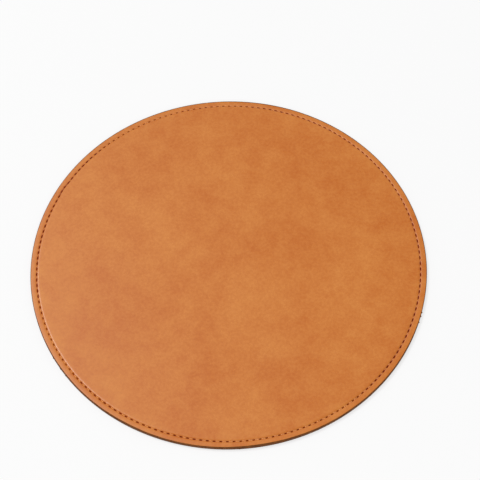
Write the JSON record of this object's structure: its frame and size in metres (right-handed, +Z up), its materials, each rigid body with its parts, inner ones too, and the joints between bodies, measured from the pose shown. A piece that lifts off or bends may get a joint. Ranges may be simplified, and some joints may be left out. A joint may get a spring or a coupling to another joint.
{
  "type": "mouse pad",
  "caption": "Round stitched mouse pad: a tan leather face and a suede base sewn together round a stiff insert, with a painted edge, to lie flat on a desk.",
  "frame": {"origin": "middle of the underside, on the surface that the pad lies on", "axes": "+Z up out of the working face; +X to the right and +Y away from the user, free to turn on a round pad"},
  "size_m": [0.22, 0.22, 0.0028],
  "materials": {
    "face_leather": "fine-grained tan leather with a soft satin surface",
    "base_suede": "brown microfibre suede with a short matt nap",
    "core_board": "bare grey fibre board",
    "adhesive": "cream acrylic adhesive film",
    "edge_paint": "dark brown satin edge paint",
    "needle_thread": "tan polyester sewing thread",
    "bobbin_thread": "tan polyester sewing thread"
  },
  "bodies": {
    "root": {"face_leather": "face_leather", "base_suede": "base_suede", "core_board": "core_board", "face_adhesive": "adhesive", "base_adhesive": "adhesive", "edge_coat": "edge_paint", "needle_thread": "needle_thread", "bobbin_thread": "bobbin_thread"}
  },
  "joints": []
}
